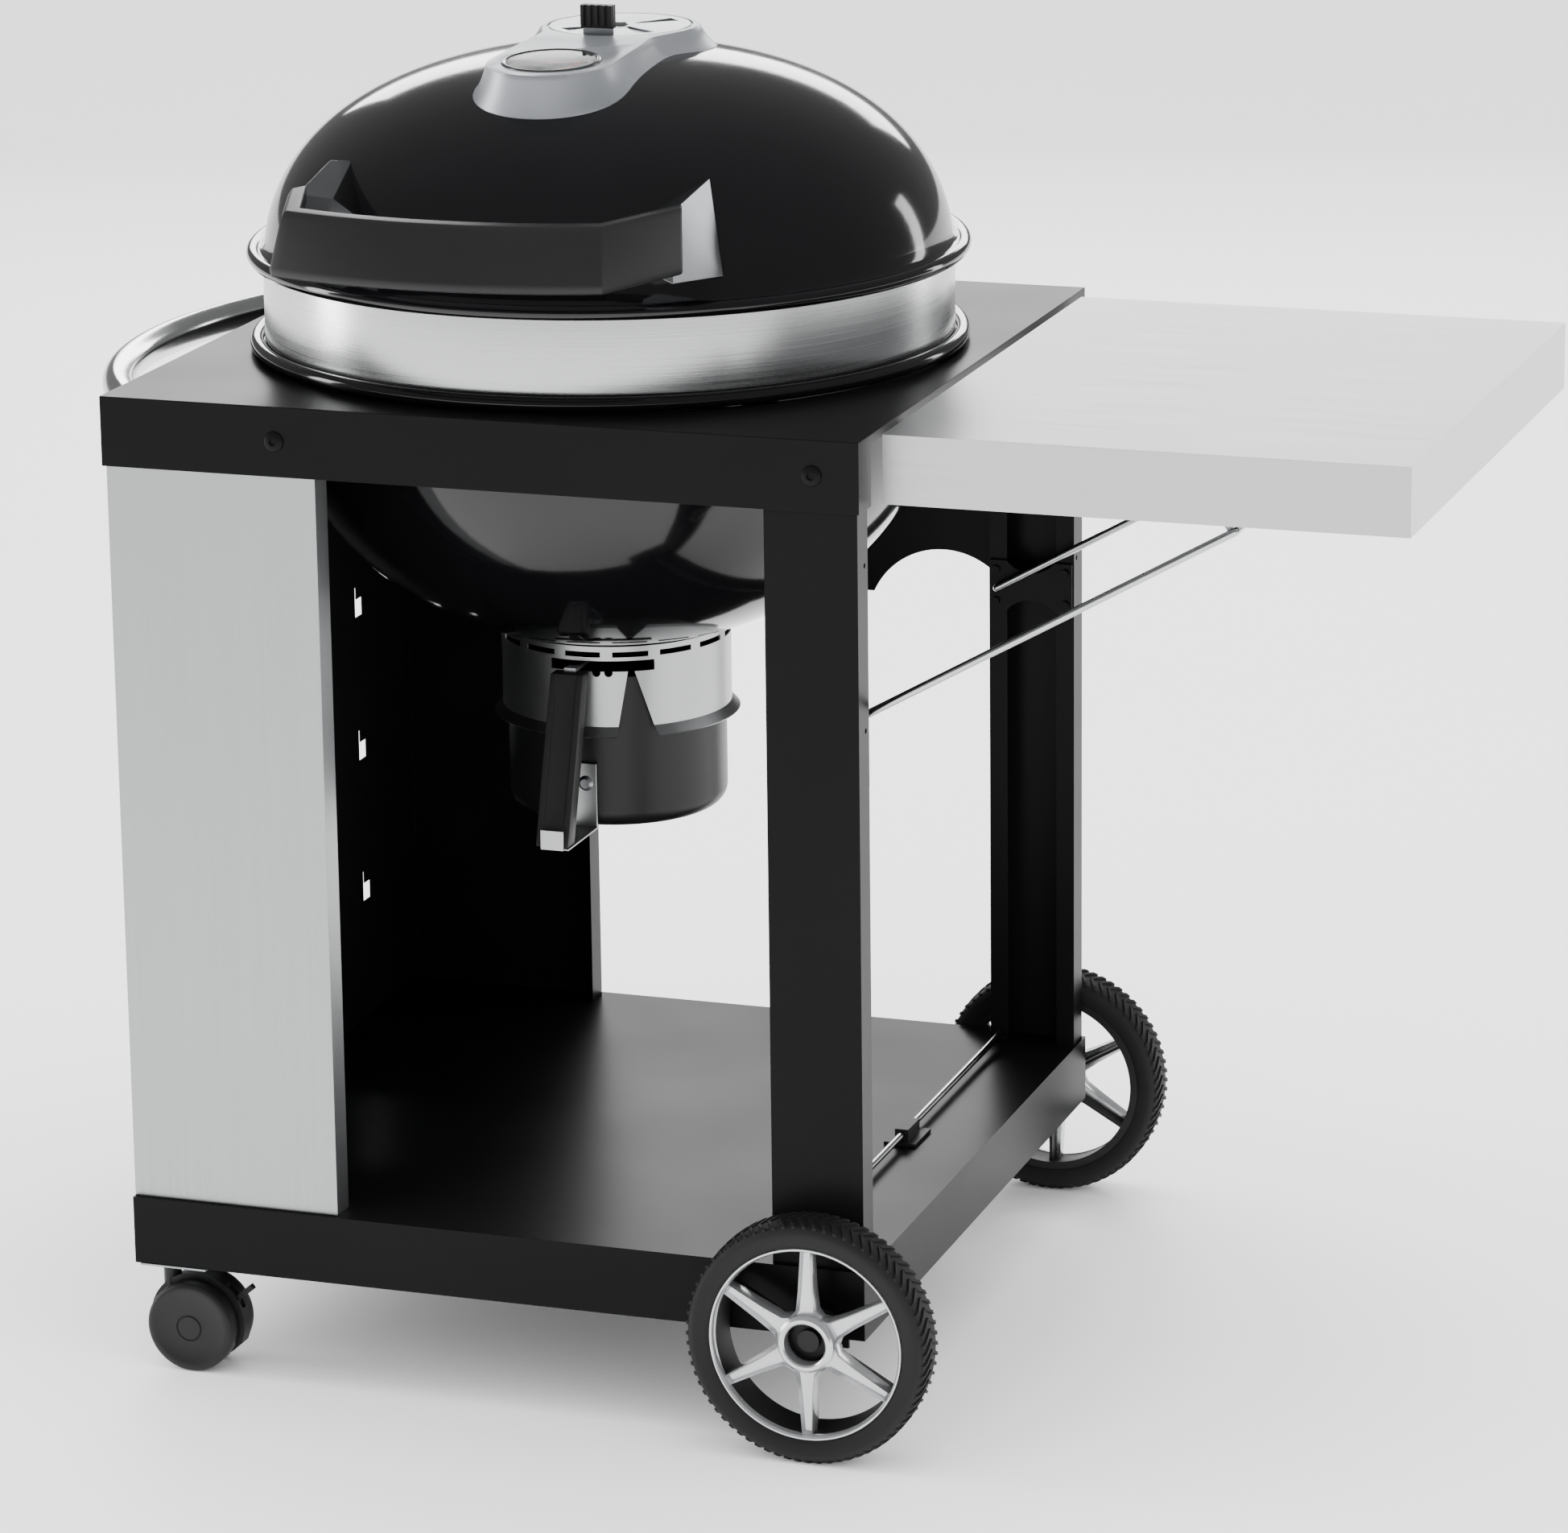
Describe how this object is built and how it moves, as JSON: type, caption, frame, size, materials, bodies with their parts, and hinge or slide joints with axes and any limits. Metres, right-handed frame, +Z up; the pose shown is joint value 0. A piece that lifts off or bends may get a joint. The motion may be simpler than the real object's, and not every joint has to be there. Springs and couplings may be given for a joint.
{
  "type": "kettle charcoal grill on a cart",
  "caption": "Kettle charcoal grill set into a rolling cart with a hinged lid, an ash catcher under the bowl, open storage below and a fold-down side shelf on a wire bail.",
  "frame": {"origin": "middle of the footprint on the floor, with the side shelf up", "axes": "+X to the side shelf on the grill's right, +Y to the back, +Z up"},
  "size_m": [1.1629, 0.766, 1.1],
  "materials": {
    "black_enamel": "glossy black vitreous enamel",
    "black_powder_coat": "satin black powder coat",
    "brushed_stainless": "brushed stainless steel",
    "polished_stainless": "polished stainless tube",
    "silver_paint": "satin silver paint",
    "silver_spokes": "silver paint on moulded spokes",
    "chromed_steel": "bright chrome plate",
    "plated_wire": "bright nickel-plated wire",
    "zinc_steel": "zinc-plated steel",
    "aluminium_vane": "dull aluminised sheet",
    "aluminium_disc": "satin aluminium",
    "matte_black_plastic": "matt black moulded plastic",
    "dial_print": "printed dial face",
    "needle_red": "red enamelled pointer",
    "dial_glass": "clear flat glass",
    "tyre_rubber": "matt black moulded rubber",
    "pot_coat": "satin black coat"
  },
  "bodies": {
    "cart": {"bowl": "black_enamel", "stainless_band": "brushed_stainless", "bowl_brackets": "zinc_steel", "grate_supports": "zinc_steel", "charcoal_grate": "plated_wire", "lid_hinge_base": "black_powder_coat", "lid_hinge_pin": "zinc_steel", "ash_ring": "brushed_stainless", "table_top": "black_powder_coat", "table_bolts": "black_powder_coat", "front_panel": "brushed_stainless", "side_panel": "black_powder_coat", "rear_left_panel": "black_powder_coat", "front_right_leg": "black_powder_coat", "rear_right_leg": "black_powder_coat", "rear_apron": "black_powder_coat", "base_shelf": "black_powder_coat", "axle": "zinc_steel", "axle_brackets": "black_powder_coat", "caster_mounts": "zinc_steel", "push_handle": "polished_stainless", "push_handle_flanges": "black_powder_coat", "shelf_hinge_brackets": "black_powder_coat", "bail_brackets": "black_powder_coat", "bail_bracket_screws": "black_powder_coat", "lower_rail": "plated_wire", "rail_clip": "matte_black_plastic"},
    "lid": {"lid_shell": "black_enamel", "vent_bezel": "silver_paint", "thermometer_case": "chromed_steel", "thermometer_dial": "dial_print", "thermometer_glass": "dial_glass", "thermometer_stem": "zinc_steel", "lid_handle_grip": "matte_black_plastic", "lid_handle_brackets": "chromed_steel", "lid_hinge_leaf": "black_powder_coat"},
    "needle": {"thermometer_needle": "needle_red"},
    "lid_damper": {"damper_disc": "aluminium_disc", "damper_tab": "matte_black_plastic", "damper_rivet": "aluminium_disc"},
    "grate": {"cooking_grate": "plated_wire"},
    "ash_catcher": {"ash_pot": "pot_coat", "ash_strap": "brushed_stainless", "ash_grip": "matte_black_plastic", "ash_rivets": "zinc_steel", "vent_sweeper": "aluminium_vane"},
    "shelf": {"side_shelf": "brushed_stainless", "shelf_catches": "zinc_steel"},
    "bail": {"support_bail": "plated_wire"},
    "front_wheel": {"front_wheel_rim": "silver_spokes", "front_tyre": "tyre_rubber"},
    "rear_wheel": {"rear_wheel_rim": "silver_spokes", "rear_tyre": "tyre_rubber"},
    "front_caster_fork": {"front_caster_hood": "matte_black_plastic"},
    "front_caster_roller": {"front_caster_wheels": "matte_black_plastic"},
    "front_brake": {"front_caster_brake": "matte_black_plastic"},
    "rear_caster_fork": {"rear_caster_hood": "matte_black_plastic"},
    "rear_caster_roller": {"rear_caster_wheels": "matte_black_plastic"},
    "rear_brake": {"rear_caster_brake": "matte_black_plastic"}
  },
  "joints": [
    {"name": "lid_hinge", "type": "hinge", "parent": "cart", "child": "lid", "pos_m": [-0.1605, 0.34, 0.901], "axis": [-1, 0, 0], "range_deg": [0, 78]},
    {"name": "needle_turn", "type": "hinge", "parent": "lid", "child": "needle", "pos_m": [-0.1605, -0.09643, 1.06869], "axis": [0, -0.0698, 0.9976], "range_deg": [-100, 150]},
    {"name": "damper_turn", "type": "hinge", "parent": "lid", "child": "lid_damper", "pos_m": [-0.1605, 0.064, 1.075], "axis": [0, 0, 1], "range_deg": [0, 60]},
    {"name": "grate_lift", "type": "slide", "parent": "cart", "child": "grate", "axis": [0, 0, 1], "range_m": [0, 0.045]},
    {"name": "ash_sweep", "type": "hinge", "parent": "cart", "child": "ash_catcher", "pos_m": [-0.1605, 0.028, 0.5], "axis": [0, 0, 1], "range_deg": [-8, 33]},
    {"name": "shelf_fold", "type": "hinge", "parent": "cart", "child": "shelf", "pos_m": [0.1635, 0.028, 0.805], "axis": [0, 1, 0], "range_deg": [0, 90]},
    {"name": "bail_fold", "type": "hinge", "parent": "cart", "child": "bail", "pos_m": [0.0915, 0.028, 0.562], "axis": [0, 1, 0], "range_deg": [0, 115.3]},
    {"name": "front_wheel_spin", "type": "hinge", "parent": "cart", "child": "front_wheel", "pos_m": [0.1225, -0.3225, 0.1006], "axis": [0, 1, 0], "continuous": true},
    {"name": "rear_wheel_spin", "type": "hinge", "parent": "cart", "child": "rear_wheel", "pos_m": [0.1225, 0.3625, 0.1006], "axis": [0, 1, 0], "continuous": true},
    {"name": "front_caster_swivel", "type": "hinge", "parent": "cart", "child": "front_caster_fork", "pos_m": [-0.4525, -0.27, 0.075], "axis": [0, 0, 1], "continuous": true},
    {"name": "front_caster_roll", "type": "hinge", "parent": "front_caster_fork", "child": "front_caster_roller", "pos_m": [-0.4285, -0.27, 0.038], "axis": [0, 1, 0], "continuous": true},
    {"name": "front_brake_press", "type": "hinge", "parent": "front_caster_fork", "child": "front_brake", "pos_m": [-0.3965, -0.27, 0.058], "axis": [0, 1, 0], "range_deg": [0, 14]},
    {"name": "rear_caster_swivel", "type": "hinge", "parent": "cart", "child": "rear_caster_fork", "pos_m": [-0.4525, 0.31, 0.075], "axis": [0, 0, 1], "continuous": true},
    {"name": "rear_caster_roll", "type": "hinge", "parent": "rear_caster_fork", "child": "rear_caster_roller", "pos_m": [-0.4285, 0.31, 0.038], "axis": [0, 1, 0], "continuous": true},
    {"name": "rear_brake_press", "type": "hinge", "parent": "rear_caster_fork", "child": "rear_brake", "pos_m": [-0.3965, 0.31, 0.058], "axis": [0, 1, 0], "range_deg": [0, 14]}
  ],
  "couplings": [
    {"joint": "bail_fold", "follows": "shelf_fold", "ratio": 1.281}
  ]
}
